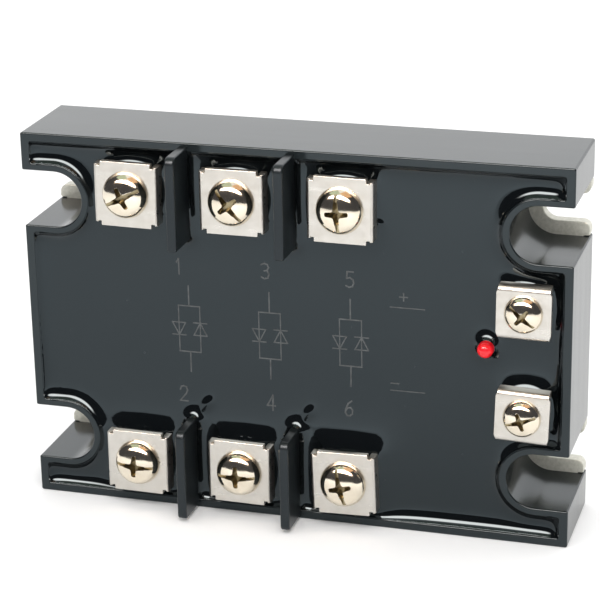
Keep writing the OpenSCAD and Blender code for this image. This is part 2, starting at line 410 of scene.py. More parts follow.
def lens_plastic():
    """Clear red plastic, with a faint painted glow that brightens its red."""
    mat, tree, bsdf = shader("lens_red", (0.72, 0.012, 0.02), 0.08, IOR=1.5)
    bsdf.inputs["Subsurface Weight"].default_value = 0.35
    bsdf.inputs["Subsurface Radius"].default_value = (0.0015, 0.0002, 0.0002)
    # The lamp is off: this faint emission is a painted glow
    bsdf.inputs["Emission Color"].default_value = (1, 0.01, 0.015, 1)
    bsdf.inputs["Emission Strength"].default_value = 0.05
    glow = noise(tree, 700, 3, 0.5)
    red = ramp(tree, glow, [(0.3, (0.6, 0.008, 0.014)), (0.7, (0.85, 0.02, 0.03))])
    tree.links.new(red, bsdf.inputs["Base Color"])
    return mat


def print_ink():
    """Faded grey pad printing, thinner in places."""
    mat, tree, bsdf = shader("print_ink", (0.045, 0.05, 0.052), 0.3)
    worn = ramp(tree, noise(tree, 700, 4, 0.6), [(0.35, (0.026, 0.03, 0.031)), (0.65, (0.06, 0.066, 0.068))])
    tree.links.new(worn, bsdf.inputs["Base Color"])
    return mat


def plain(name, light, dark, rough, metallic=0.0, scale=600, grain=3000, strength=0.08):
    """A mottled finish with a fine grain."""
    mat, tree, bsdf = shader(name, light, rough, metallic)
    tree.links.new(ramp(tree, noise(tree, scale, 4, 0.6), [(0.3, dark), (0.7, light)]), bsdf.inputs["Base Color"])
    bump(tree, bsdf, noise(tree, grain, 2, 0.5), strength, 0.00003)
    return mat


def studio_paper():
    """Pale matt paper."""
    mat, tree, bsdf = shader("studio_paper", (0.93, 0.93, 0.93), 0.9)
    bsdf.inputs["Specular IOR Level"].default_value = 0.1
    fibres = noise(tree, 40, 4, 0.6)
    tree.links.new(ramp(tree, fibres, [(0.3, 0.925), (0.7, 0.935)]), bsdf.inputs["Base Color"])
    return mat


# Light and dark colour, roughness, grain and how the grain is stretched
PLATED = {
    "clamp_steel": ((0.61, 0.59, 0.55), (0.55, 0.53, 0.485), 0.3, 7000, (0.15, 1, 1)),
    "screw_nickel": ((0.82, 0.75, 0.62), (0.74, 0.66, 0.53), 0.1, 4000),
    # The recess is the head's own nickel made darker: painted shade in the slot and cross
    "recess_nickel_painted_shade": ((0.36, 0.31, 0.2), (0.24, 0.2, 0.12), 0.3, 4000),
    "post_brass": ((0.8, 0.78, 0.7), (0.7, 0.67, 0.58), 0.22, 6000, (0.1, 1, 1)),
    "tinned_wire": ((0.78, 0.78, 0.77), (0.62, 0.62, 0.6), 0.3, 4000),
    "copper": ((0.85, 0.5, 0.33), (0.66, 0.35, 0.2), 0.28, 4000, (1, 1, 0.2)),
}
# Light and dark colour, roughness, and for two of them metallic; the plate's grain is its own
PLAIN = {
    "base_aluminium": ((0.66, 0.65, 0.58), (0.5, 0.5, 0.43), 0.42, 0.35, 1500, 5000, 0.2),
    "board_laminate": ((0.03, 0.16, 0.07), (0.02, 0.11, 0.05), 0.3),
    "alumina": ((0.85, 0.84, 0.8), (0.78, 0.77, 0.73), 0.55),
    "silicon": ((0.2, 0.21, 0.24), (0.14, 0.15, 0.18), 0.15, 0.6),
    "optocoupler_white": ((0.8, 0.8, 0.77), (0.74, 0.74, 0.7), 0.45),
    "resistor_blue": ((0.12, 0.3, 0.5), (0.09, 0.24, 0.42), 0.35),
    "resistor_tan": ((0.6, 0.46, 0.3), (0.52, 0.39, 0.25), 0.45),
    "capacitor_yellow": ((0.72, 0.46, 0.06), (0.64, 0.4, 0.05), 0.4),
    "component_black": ((0.02, 0.02, 0.021), (0.014, 0.014, 0.015), 0.4),
}
MATERIALS = {
    "housing_plastic": moulded_plastic("housing_plastic", 0.15, 0.2, (0.74, 0.86, 0.92)),
    # The barriers are the frame's plastic, rougher as they are; their dimmer specular tint is painted shade that
    # darkens the fins
    "barrier_plastic_painted_shade": moulded_plastic("barrier_plastic_painted_shade", 0.3, 0.37, (0.62, 0.7, 0.77)),
    "potting_resin": potting_resin(),
    "lens_red": lens_plastic(),
    "print_ink": print_ink(),
}
MATERIALS.update((name, plated(name, *values)) for name, values in PLATED.items())
MATERIALS.update((name, plain(name, *values)) for name, values in PLAIN.items())


def finish_piece(ob, material, body, *nodes, slot=None):
    """Gives a piece its material, its body and the CAD nodes it stands for; slot is not used."""
    if material:
        ob.data.materials.clear()
        ob.data.materials.append(MATERIALS[material])
    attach(ob, body)
    if nodes:
        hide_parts(*nodes)
    return ob


# ---------------- housing

EDGE_R = 0.3
BACK_EDGE_R = 0.15
CORNER_R = 0.45
INNER_CORNER_R = 0.45
MOUTH_CORNER_R = 0.35
INNER_MOUTH_R = 0.5
POCKET_CORNER_R = 0.3
ARC_STEPS = 28
# How far a cutter passes the face that it opens
PAST = 1.0


def notch_side(r, end_x, mouth_r):
    """The outline round the upper right notch, upwards, with corners at its mouth."""
    return (
        [(end_x, NOTCH_Z - r, mouth_r)]
        + sharp(arc(NOTCH_X, NOTCH_Z, r, 270, 90, ARC_STEPS))
        + [(end_x, NOTCH_Z + r, mouth_r)]
    )


def four_quarters(corners):
    """A full anticlockwise outline from the corners of its upper right quarter, which run upwards."""
    upper_right = corners
    upper_left = [(-x, z, r) for x, z, r in corners][::-1]
    lower_left = [(-x, -z, r) for x, z, r in corners]
    lower_right = [(x, -z, r) for x, z, r in corners][::-1]
    return rounded(upper_right + upper_left + lower_left + lower_right)


def body_outline():
    return four_quarters(notch_side(NOTCH_R, HALF_X, MOUTH_CORNER_R) + [(HALF_X, HALF_Z, CORNER_R)])


def cavity_outline():
    x, z = HALF_X - WALL, HALF_Z - WALL
    return four_quarters(notch_side(BUMP_R, x, INNER_MOUTH_R) + [(x, z, INNER_CORNER_R)])


BARRIER_T = 1.8
BARRIER_ROOT = 12.0
BARRIER_INSET = 0.8
BARRIER_LENGTH = 17.8
BARRIER_EDGE_R = 0.35
POWER_PITCH = 20.4
POWER_CENTRE = -10.0
# Each barrier's X, its side (1 upper, -1 lower) and the radius of its outer and inner corners
BARRIERS = [
    (POWER_CENTRE + k * POWER_PITCH / 2, side, outer, inner)
    for side, outer, inner in ((1, 1.5, 0.4), (-1, 0.8, 1.5))
    for k in (-1, 1)
]
BARRIER_OUT = HALF_Z - BARRIER_INSET
BARRIER_IN = BARRIER_OUT - BARRIER_LENGTH


def make_barrier(x, side, outer_r, inner_r):
    """A thin upright wall between two power terminals."""
    corners = [
        (BARRIER_ROOT, BARRIER_IN, 0),
        (BARRIER_LEVEL, BARRIER_IN, inner_r),
        (BARRIER_LEVEL, BARRIER_OUT, outer_r),
        (BARRIER_ROOT, BARRIER_OUT, 0),
    ]
    loop = [(u, v * side) for u, v in rounded(corners, 8)]
    if side < 0:
        loop = loop[::-1]
    rings = slab_rings(-BARRIER_T / 2, BARRIER_T / 2, BARRIER_EDGE_R, BARRIER_EDGE_R, 4)
    return stack("barrier", loop, rings, along_x(x))


def make_housing():
    """The frame: a block with a cavity in front, a pocket for the base plate behind, and the barriers."""
    housing = stack("housing_moulding", body_outline(), slab_rings(HOUSING_BACK, RIM_LEVEL, BACK_EDGE_R, EDGE_R, 4))
    housing.data.materials.append(MATERIALS["housing_plastic"])
    # the cavity opens over a rounded lip
    lip = [(RIM_LEVEL - EDGE_R + EDGE_R * math.sin(t), -EDGE_R * (1 - math.cos(t)))
           for t in (math.pi / 2 * i / 4 for i in range(5))]
    cut(housing, stack("cavity", cavity_outline(), [(PLATE_LEVEL, 0)] + lip + [(RIM_LEVEL + PAST, -EDGE_R)]))
    x, z = HALF_X - POCKET_WALL, HALF_Z - POCKET_WALL
    pocket = rounded([(u, v, POCKET_CORNER_R) for u, v in ((-x, -z), (x, -z), (x, z), (-x, z))])
    cut(housing, stack("pocket", pocket, [(HOUSING_BACK - PAST, 0), (PLATE_LEVEL, 0)]))
    for barrier in BARRIERS:
        fin = make_barrier(*barrier)
        fin.data.materials.append(MATERIALS["barrier_plastic_painted_shade"])
        cut(housing, fin, "UNION")
    shade(housing)
    even_normals(housing)
    return finish_piece(housing, None, "relay_body", "housing", slot="housing_plastic")


# ---------------- base plate

SLOT_R = 2.7
MOUTH_R = 1.5
PLATE_X, PLATE_Z = HALF_X - 1.3, HALF_Z - 1.3
EAR_X = PLATE["x"][1]
EAR_HALF = NOTCH_R - 0.1
EAR_R = 0.4
PLATE_CORNER_R = 0.5


def make_base_plate():
    """A flat plate whose ears reach out into the notches, each with a slot for a fixing screw."""
    quarter = (
        [(PLATE_X, NOTCH_Z - EAR_HALF, 0), (EAR_X, NOTCH_Z - EAR_HALF, EAR_R)]
        + notch_side(SLOT_R, EAR_X, MOUTH_R)
        + [(EAR_X, NOTCH_Z + EAR_HALF, EAR_R), (PLATE_X, NOTCH_Z + EAR_HALF, 0)]
        + [(PLATE_X, PLATE_Z, PLATE_CORNER_R)]
    )
    plate = stack("base_plate_aluminium", four_quarters(quarter), slab_rings(0, PLATE_LEVEL, 0.15, 0.2))
    even_normals(plate)
    return finish_piece(plate, "base_aluminium", "relay_body", "base_plate")


# ---------------- resin

POST = {t: node_box("terminal_post_" + t) for t in TERMINALS}
CENTRE = {t: (middle(box["x"]), middle(box["z"])) for t, box in POST.items()}
POST_R = {t: (box["x"][1] - box["x"][0]) / 2 for t, box in POST.items()}
LAMP_BOX = node_box("indicator_lens")
LAMP = middle(LAMP_BOX["x"]), middle(LAMP_BOX["z"])
LAMP_R = 1.5
LAMP_TIP = LAMP_BOX["level"][1]

# The pool away from its edges: how far it lies below the CAD's resin, and its slope along X and Z
POOL_DROP, TILT_X, TILT_Z = 1.0, -0.0035, 0.003

# Height and reach of the resin's climb up each kind of face
WALL_CLIMB, WALL_REACH = 1.65, 1.12
POST_CLIMB, POST_REACH = 1.7, 1.0
BARRIER_CLIMB, BARRIER_REACH = 1.4, 0.9
LAMP_CLIMB, LAMP_REACH = 1.3, 0.9
# A climb is drawn out to this many reaches, where nothing is left of it
FADED = 9

# The mound under each clamp: its half width, height and reach
MOUND = {
    "u": (5.2, 1.0, 2.4), "v": (5.0, 0.95, 2.3), "w": (5.2, 1.0, 2.5),
    "l1": (5.8, 1.35, 3.2), "l2": (5.8, 1.35, 3.1), "l3": (6.2, 1.55, 3.7),
    "plus": (4.5, 0.9, 2.2), "minus": (3.9, 0.95, 2.3),
}
MOUND_CORNER_R = 1.5

# Small drips left on the resin: centre, half length, half width, turn in degrees and height
DRIPS = ((-17.5, -15.3, 1.6, 1.0, 52, 0.45), (2.6, -15.1, 1.4, 0.9, 58, 0.42), (16.6, 23.6, 0.95, 0.6, -35, 0.3))


def pool_level(x, z):
    """The resin's level away from its edges, and its slope: it was poured with the left and top a little high."""
    return RESIN_LEVEL - POOL_DROP + TILT_X * x + TILT_Z * z, TILT_X, TILT_Z


def from_disc(dx, dz, r):
    """Distance outside a disc of a point at (dx, dz) from its centre, and the direction outwards."""
    away = math.hypot(dx, dz) or 1e-9
    return away - r, (dx / away, dz / away)


def from_square(dx, dz, half):
    """The same for a square with rounded corners."""
    ex, ez = max(abs(dx) - half + MOUND_CORNER_R, 0), max(abs(dz) - half + MOUND_CORNER_R, 0)
    past = math.hypot(ex, ez) or 1e-9
    return past - MOUND_CORNER_R, (math.copysign(ex / past, dx), math.copysign(ez / past, dz))


def resin_distances(x, z):
    """(distance, direction away, climb, reach) for each face that the resin climbs."""
    climb = min(WALL_CLIMB, RIM_LEVEL - 0.1 - pool_level(x, z)[0])
    reach = WALL_REACH * climb / WALL_CLIMB
    sx, sz = math.copysign(1, x), math.copysign(1, z)
    bump_d, (bump_x, bump_z) = from_disc(min(abs(x) - NOTCH_X, 0), abs(z) - NOTCH_Z, BUMP_R)
    out = [
        (HALF_X - WALL - abs(x), (-sx, 0), climb, reach),
        (HALF_Z - WALL - abs(z), (0, -sz), climb, reach),
        (bump_d, (sx * bump_x, sz * bump_z), climb, reach),
    ]
    for t in TERMINALS:
        dx, dz = x - CENTRE[t][0], z - CENTRE[t][1]
        half, mound, mound_reach = MOUND[t]
        out.append((*from_disc(dx, dz, POST_R[t]), POST_CLIMB, POST_REACH))
        out.append((*from_square(dx, dz, half), mound, mound_reach))
    out.append((*from_disc(x - LAMP[0], z - LAMP[1], LAMP_R), LAMP_CLIMB, LAMP_REACH))
    for bx, side, _, _ in BARRIERS:
        low, high = sorted((side * (BARRIER_IN + BARRIER_T / 2), side * (BARRIER_OUT + 2)))
        out.append((*from_disc(x - bx, z - min(max(z, low), high), BARRIER_T / 2), BARRIER_CLIMB, BARRIER_REACH))
    return out


def drip(x, z, cx, cz, long, short, turn, height):
    """A smooth bump's height and slope at a point."""
    c, s = math.cos(math.radians(turn)), math.sin(math.radians(turn))
    u, v = (x - cx) * c + (z - cz) * s, (z - cz) * c - (x - cx) * s
    e = height * math.exp(-(u / long) ** 2 - (v / short) ** 2)
    du, dv = -2 * u / long ** 2 * e, -2 * v / short ** 2 * e
    return e, du * c - dv * s, du * s + dv * c


def resin_height(x, z):
    """The surface's level and slope: the pool, its drips, and a climb that dies away from each face."""
    h, hx, hz = pool_level(x, z)
    for mark in DRIPS:
        if math.hypot(x - mark[0], z - mark[1]) < 4 * mark[2]:
            e, ex, ez = drip(x, z, *mark)
            h, hx, hz = h + e, hx + ex, hz + ez
    for d, away, climb, reach in resin_distances(x, z):
        if d < FADED * reach:
            e = climb * math.exp(-max(d, 0) / reach)
            h += e
            if d > 0:
                hx -= e / reach * away[0]
                hz -= e / reach * away[1]
    return h, hx, hz


def below_rim(x, z):
    """The same, held just under the rim beside the walls."""
    h, hx, hz = resin_height(x, z)
    if min(HALF_X - WALL - abs(x), HALF_Z - WALL - abs(z)) < 1.2:
        h = min(h, RIM_LEVEL - 0.08)
    return h, hx, hz


def inside(loop, x, z):
    """Whether a point lies inside an outline."""
    hit = False
    for i in range(len(loop)):
        (ax, az), (bx, bz) = loop[i - 1], loop[i]
        if (az > z) != (bz > z) and x < (bx - ax) * (z - az) / (bz - az) + ax:
            hit = not hit
    return hit


def dense(loop, step):
    """The outline with points added so that none is further than step from the next."""
    out = []
    for i, a in enumerate(loop):
        b = loop[(i + 1) % len(loop)]
        n = max(1, math.ceil(math.dist(a, b) / step))
        out += [(a[0] + (b[0] - a[0]) * k / n, a[1] + (b[1] - a[1]) * k / n) for k in range(n)]
    return out


def wall_ring(d):
    """The cavity's outline moved inwards by d, also where the strip beyond a notch has closed up."""
    x, z = HALF_X - WALL - d, HALF_Z - WALL - d
    r = BUMP_R + d
    if NOTCH_Z + r > z:
        a = math.degrees(math.asin(min((z - NOTCH_Z) / r, 1)))
        return four_quarters([(x, NOTCH_Z - r, 0.3)] + sharp(arc(NOTCH_X, NOTCH_Z, r, 270, 180 - a, ARC_STEPS)))
    round_bump = sharp(arc(NOTCH_X, NOTCH_Z, r, 270, 90, ARC_STEPS))
    return four_quarters([(x, NOTCH_Z - r, 0.5)] + round_bump + [(x, NOTCH_Z + r, 0.3), (x, z, 0.3)])


# How far the resin runs into the faces that it meets
OVERLAP = 0.03
# The mesh: its rings' distances from each face and round each drip, and its grid elsewhere
RING_STEPS = (0.08, 0.18, 0.3, 0.45, 0.62, 0.82, 1.05, 1.35, 1.7, 2.15, 2.7, 3.4, 4.2)
DRIP_RINGS = (0.15, 0.3, 0.45, 0.65, 0.85, 1.1, 1.4, 1.8)
GRID = 1.3
OUTLINE_STEP = 0.5
CLOSEST = 0.07
CLOSEST_TO_FACE = 0.05


def resin_points():
    """Points for the surface: rings that follow each face, rings round the drips, then a coarse grid."""
    points = []
    for d in RING_STEPS:
        points += dense(wall_ring(d), 0.35 + d * 0.35)
        for (cx, cz), r in [(CENTRE[t], POST_R[t]) for t in TERMINALS] + [(LAMP, LAMP_R)]:
            points += circle(cx, cz, r + d, int(60 + 6 * d))
        for bx, side, _, _ in BARRIERS:
            low, high = sorted((side * BARRIER_IN, side * (HALF_Z - WALL - 0.3)))
            x0, x1 = bx - BARRIER_T / 2 - d, bx + BARRIER_T / 2 + d
            box = [(x0, low - d, d), (x1, low - d, d), (x1, high + d, d), (x0, high + d, d)]
            points += dense(rounded(box, 6), 0.3 + d * 0.4)
    for cx, cz, long, _, _, _ in DRIPS:
        for r in DRIP_RINGS:
            points += circle(cx, cz, r * long, 24)
    nx, nz = int(HALF_X / GRID), int(HALF_Z / GRID)
    for i in range(-nx, nx + 1):
        points += [((i + 0.5 * (k % 2)) * GRID, k * GRID) for k in range(-nz, nz + 1)]
    return points


def resin_plan():
    """The surface seen from the front: its points, and triangles inside the outline and outside the holes."""
    outline = dense(inset(cavity_outline(), -OVERLAP), OUTLINE_STEP)
    holes = [circle(*CENTRE[t], POST_R[t] - OVERLAP, 72) for t in TERMINALS]
    holes.append(circle(*LAMP, LAMP_R - OVERLAP, 48))
    verts, edges = [], []
    for loop in [outline] + holes:
        first = len(verts)
        verts += [Vector(p) for p in loop]
        edges += [(first + i, first + (i + 1) % len(loop)) for i in range(len(loop))]
    seen = set()
    for x, z in resin_points():
        key = (round(x / CLOSEST), round(z / CLOSEST))
        if key in seen or not inside(outline, x, z):
            continue
        if min(face[0] for face in resin_distances(x, z)) >= CLOSEST_TO_FACE:
            seen.add(key)
            verts.append(Vector((x, z)))
    flat, _, faces, _, _, _ = delaunay_2d_cdt(verts, edges, [], 0, 1e-5)

    def kept(face):
        x, z = (sum(flat[i][axis] for i in face) / 3 for axis in (0, 1))
        return inside(outline, x, z) and not any(inside(hole, x, z) for hole in holes)

    return flat, [face for face in faces if kept(face)]


def make_resin():
    """A closed solid under the surface, which has the true surface's normals, so that it mirrors cleanly."""
    flat, faces = resin_plan()
    bm = bmesh.new()
    top, low, normals = [], [], {}
    for p in flat:
        h, hx, hz = below_rim(p.x, p.y)
        top.append(bm.verts.new(FRONT(p.x, p.y, h)))
        low.append(bm.verts.new(FRONT(p.x, p.y, PLATE_LEVEL + 0.02)))
        normals[top[-1]] = Vector((-hx, -1, -hz)).normalized()
    for f in faces:
        bm.faces.new([top[i] for i in f])
        bm.faces.new([low[i] for i in reversed(f)])
    edges = dict.fromkeys(pair for f in faces for pair in zip(f, f[1:] + f[:1]))
    for a, b in edges:
        if (b, a) not in edges:
            bm.faces.new((top[b], top[a], low[a], low[b]))
    bmesh.ops.delete(bm, geom=[v for v in bm.verts if not v.link_faces], context="VERTS")
    bm.verts.index_update()
    normals = {v.index: normal for v, normal in normals.items() if v.is_valid}
    resin = new_piece("potting_resin", bm, smooth=False)
    resin.data.shade_smooth()
    custom = []
    for face in resin.data.polygons:
        on_surface = all(i in normals for i in face.vertices)
        custom += [normals[i] if on_surface else face.normal.copy() for i in face.vertices]
    resin.data.normals_split_custom_set(custom)
    return finish_piece(resin, "potting_resin", "relay_body", "potting_compound")


# ---------------- terminals

POWER_SIZES = {
    "bore_r": 2.05, "bore_depth": 6.7, "clamp_half": 6.2, "fold_r": 0.6, "hole_r": 2.3,
    "head_r": 4.4, "head_h": 2.7, "thread_r": 2.0, "pitch": 0.7, "length": 8.0,
}
CONTROL_SIZES = {
    "bore_r": 1.8, "bore_depth": 5.8, "clamp_half": 5.0, "fold_r": 0.95, "hole_r": 2.05,
    "head_r": 3.5, "head_h": 2.2, "thread_r": 1.75, "pitch": 0.6, "length": 7.0,
}
SIZES = {t: POWER_SIZES if t in POWER else CONTROL_SIZES for t in TERMINALS}


def make_post(t):
    """A round post with a groove below its seat and a bore for the screw."""
    foot, seat = POST[t]["level"]
    r, bore = POST_R[t], SIZES[t]["bore_r"]
    depth = seat - SIZES[t]["bore_depth"]
    groove = seat - 0.9
    profile = [
        (0, foot), (r - 0.2, foot), (r, foot + 0.2),
        (r, groove - 0.25), (r - 0.15, groove - 0.12), (r - 0.15, groove + 0.12), (r, groove + 0.25),
        (r, seat - 0.35), (r - 0.1, seat - 0.1), (r - 0.35, seat), (bore + 0.35, seat),
        (bore, seat - 0.35), (bore, depth), (0, depth - 0.6),
    ]
    post = lathe("post_" + t, profile, placer(*CENTRE[t]))
    return finish_piece(post, "post_brass", "relay_body", "terminal_post_" + t)


# A clamp plate's thickness, its depth with the flanges, and its front face
CLAMP_T = 1.2
CLAMP_DEPTH = 2.8
CLAMP_FRONT = 23.4
# The blank's length that each fold takes, the fold's inner radius, and the number of strips that it bends in
FOLD_BLANK = 1.5
FOLD_INNER_R = 0.05
FOLD_STEPS = 20


def fold(u, w, half, outer_r):
    """Where a point of the flat blank goes: u is its distance along the blank and w its depth from the front."""
    side, s = math.copysign(1, u), abs(u)
    deep = CLAMP_T + FOLD_INNER_R
    start = half - deep
    if s <= start:
        return u, w
    # the fold's radius shrinks from the outer face to the inner one
    r = outer_r + (FOLD_INNER_R - outer_r) * w / CLAMP_T
    run, turn = deep - w - r, r * math.pi / 2
    if s >= start + FOLD_BLANK:
        return side * (half - w), deep + s - start - FOLD_BLANK
    d = (s - start) / FOLD_BLANK * (run + turn + run)
    if d < run:
        return side * (start + d), w
    if d < run + turn:
        a = (d - run) / r
        return side * (start + run + r * math.sin(a)), w + r * (1 - math.cos(a))
    return side * (half - w), w + r + d - run - turn


def power_blank(half, reach):
    """Half of the blank: a tab at its top and bottom, with a shallow notch between each and the flange."""
    tab, flange, slot = half - 1.3, half - 0.6, half - 0.85
    edge = tab + 0.5
    return [
        (tab, -half, 0.15), (tab, -slot, 0.08), (edge, -slot, 0.08), (edge, -flange, 0.08), (reach, -flange, 0.3),
        (reach, flange, 0.3), (edge, flange, 0.08), (edge, slot, 0.08), (tab, slot, 0.08), (tab, half, 0.15),
    ]


def control_blank(half, reach):
    """Half of the blank: chamfered corners lead from the face to the flange."""
    tab, flange = half - 0.7, half - 0.25
    return [
        (tab - 0.5, -half, 0.3), (tab, -flange, 0.3), (reach, -flange, 0.3),
        (reach, flange, 0.3), (tab, flange, 0.3), (tab - 0.5, half, 0.3),
    ]


def make_clamp(t):
    """A flat blank, its two flanges folded back: at the sides of a power clamp, above and below a control clamp."""
    power = t in POWER
    half, outer_r = SIZES[t]["clamp_half"], SIZES[t]["fold_r"]
    start = half - CLAMP_T - FOLD_INNER_R
    reach = start + FOLD_BLANK + CLAMP_DEPTH - CLAMP_T - FOLD_INNER_R
    corners = (power_blank if power else control_blank)(half, reach)
    loop = rounded(corners + [(-x, -z, r) for x, z, r in corners], 4)
    bm = bmesh.new()
    add_stack(bm, loop, slab_rings(0, CLAMP_T, 0.12, 0.12), lambda u, v, w: Vector((u, w, v)))
    for k in range(FOLD_STEPS + 1):
        for side in (-1, 1):
            at = side * (start + FOLD_BLANK * k / FOLD_STEPS)
            geom = bm.verts[:] + bm.edges[:] + bm.faces[:]
            bmesh.ops.bisect_plane(bm, geom=geom, plane_co=(at, 0, 0), plane_no=(1, 0, 0), dist=1e-5)
    place = placer(*CENTRE[t], CLAMP_TURN[t])
    for v in bm.verts:
        u, w = fold(v.co.x, v.co.y, half, outer_r)
        a, b = (u, v.co.z) if power else (-v.co.z, u)
        v.co = place(a, b, CLAMP_FRONT - w)
    clamp = new_piece("clamp_" + t, bm)
    through = [(CLAMP_FRONT - 3, 0), (CLAMP_FRONT + PAST, 0)]
    cut(clamp, stack("hole", circle(0, 0, SIZES[t]["hole_r"]), through, place))
    shade(clamp)
    even_normals(clamp)
    return finish_piece(clamp, "clamp_steel", "clamp_" + t, "clamp_plate_" + t)


# A pan head's crown: its radius over the head's, and how far the crown and then the shoulder turn
CROWN_SHARE, CROWN_TURN, SHOULDER_TURN = 1.7, math.radians(22), math.radians(76)
# The recess in an M4 head: the slot's half width and depth, and the cross's depth, wing and tip
SLOT_HALF, SLOT_DEPTH = 0.3, 1.05
CROSS_DEPTH, CROSS_WING, CROSS_TIP = 1.9, 0.52, 2.15
HEAD_SHARP = math.radians(28)


def head_profile(r, h):
    """A pan head: a shallow crown, a tighter shoulder and a short straight rim, down to the shank."""
    top = CLAMP_FRONT + h
    crown = CROWN_SHARE * r
    turns = [CROWN_TURN * i / 12 for i in range(13)]
    points = [(crown * math.sin(a), top - crown * (1 - math.cos(a))) for a in turns]
    edge, level = points[-1]
    bend = (r - edge) / (math.sin(SHOULDER_TURN) - math.sin(CROWN_TURN))
    for i in range(1, 15):
        a = CROWN_TURN + (SHOULDER_TURN - CROWN_TURN) * i / 14
        out, down = math.sin(a) - math.sin(CROWN_TURN), math.cos(CROWN_TURN) - math.cos(a)
        points.append((edge + bend * out, level - bend * down))
    return points + [(r, CLAMP_FRONT + 0.25), (r - 0.07, CLAMP_FRONT + 0.09), (r - 0.25, CLAMP_FRONT + 0.01)]


def cross_outline(tip, wing):
    """Four wings with tapered tips and rounded roots."""
    quarter = (
        (tip - 0.1, -wing * 0.82), (tip + 0.06, -wing * 0.3), (tip + 0.06, wing * 0.3), (tip - 0.1, wing * 0.82),
        (wing * 1.5, wing * 1.02), (wing * 1.02, wing * 1.5),
    )
    out = []
    for q in range(4):
        c, s = math.cos(math.radians(90 * q)), math.sin(math.radians(90 * q))
        out += [(u * c - v * s, u * s + v * c) for u, v in quarter]
    return out


def recess(head, name, outline, rings, place):
    """Cuts a recess, whose faces are rougher than the head and darkened with painted shade."""
    cutter = stack(name, outline, rings, place)
    cutter.data.materials.append(MATERIALS["recess_nickel_painted_shade"])
    cut(head, cutter)


def make_thread(size, place):
    """A threaded shank inside the nominal diameter, with a pointed-off end."""
    around, per_turn = 24, 8
    radius, pitch = size["thread_r"], size["pitch"]
    top, bottom = CLAMP_FRONT - 0.1, CLAMP_FRONT - size["length"]
    depth = 0.54 * pitch
    rows = int((top - bottom) / pitch * per_turn)
    bm = bmesh.new()
    rings = []
    for i in range(rows + 1):
        level = top + (bottom - top) * i / rows
        point = radius - depth * max(0, 1.2 - (level - bottom) / 0.8)
        ring = []
        for j in range(around):
            turn = (level / pitch + j / around) % 1.0
            ridge = 1 - abs(2 * turn - 1)
            r = min(radius - depth * (1 - min(max(ridge * 1.25 - 0.12, 0), 1)), point)
            a = 2 * math.pi * j / around
            ring.append(bm.verts.new(place(r * math.cos(a), r * math.sin(a), level)))
        rings.append(ring)
    for a, b in zip(rings, rings[1:]):
        for j in range(around):
            n = (j + 1) % around
            bm.faces.new((a[j], a[n], b[n], b[j]))
    bm.faces.new(rings[0])
    bm.faces.new(rings[-1][::-1])
    return new_piece("thread", bm)


def make_screw(t):
    """A pan-head screw with a slot and a cross in its head, joined to its thread."""
    size = SIZES[t]
    r, top = size["head_r"], CLAMP_FRONT + size["head_h"]
    place = placer(*CENTRE[t], SLOT_TURN[t])
    shank = size["thread_r"] - 0.1
    neck = [(shank, CLAMP_FRONT + 0.01), (shank, CLAMP_FRONT - 0.3), (0, CLAMP_FRONT - 0.3)]
    head = lathe("screw_" + t, head_profile(r, size["head_h"]) + neck, place, 96)
    head.data.materials.append(MATERIALS["screw_nickel"])
    scale = r / POWER_SIZES["head_r"]
    half, reach, floor = SLOT_HALF * scale, r + PAST, top - SLOT_DEPTH * scale
    slot = [(-reach, -half), (reach, -half), (reach, half), (-reach, half)]
    recess(head, "slot", slot, [(floor, 0.06), (floor + 0.08, 0), (top + 0.5, -0.06)], place)
    depth = CROSS_DEPTH * scale
    rings = [(top - depth, 0.26 * scale), (top - depth * 0.55, 0.12 * scale), (top - 0.1, 0), (top + 0.6, -0.1)]
    recess(head, "cross", cross_outline(CROSS_TIP * scale, CROSS_WING * scale), rings, place)
    cut(head, make_thread(size, place), "UNION")
    shade(head, HEAD_SHARP)
    soften(head, 0.07, 2, math.radians(40))
    bake(head)
    shade(head, HEAD_SHARP)
    even_normals(head)
    return finish_piece(head, None, "screw_" + t, "terminal_screw_" + t, slot="screw_nickel")


LAMP_FLANGE, LAMP_FLANGE_OUT, LAMP_FLANGE_T = 16.8, 0.4, 0.8


def make_lamp():
    """A 3 mm lamp: a domed body over a flange."""
    dome, brim = LAMP_TIP - LAMP_R, LAMP_R + LAMP_FLANGE_OUT
    shoulder = LAMP_FLANGE + LAMP_FLANGE_T
    profile = [(0, LAMP_FLANGE), (brim, LAMP_FLANGE), (brim, shoulder), (LAMP_R, shoulder)]
    turns = [math.pi / 2 * i / 12 for i in range(12)]
    profile += [(LAMP_R * math.cos(a), dome + LAMP_R * math.sin(a)) for a in turns]
    profile += [(0, LAMP_TIP)]
    lamp = lathe("lamp_lens", profile, placer(*LAMP), 48)
    return finish_piece(lamp, "lens_red", "relay_body", "indicator_lens")


# ---------------- printed marks

INK_LIFT = 0.012


def on_resin(u, v):
    """A point on the resin, lifted by the ink's thickness."""
    return FRONT(u, v, resin_height(u, v)[0] + INK_LIFT)


def ink_line(bm, points, width, closed=False):
    """A flat printed line along the points, with square ends."""
    n = len(points)
    for i in range(n if closed else n - 1):
        a, b = Vector(points[i]), Vector(points[(i + 1) % n])
        u = (b - a).normalized()
        side = Vector((-u.y, u.x)) * width / 2
        ends = [a - u * width / 2 + side, a - u * width / 2 - side, b + u * width / 2 - side, b + u * width / 2 + side]
        bm.faces.new([bm.verts.new(on_resin(p.x, p.y)) for p in ends])


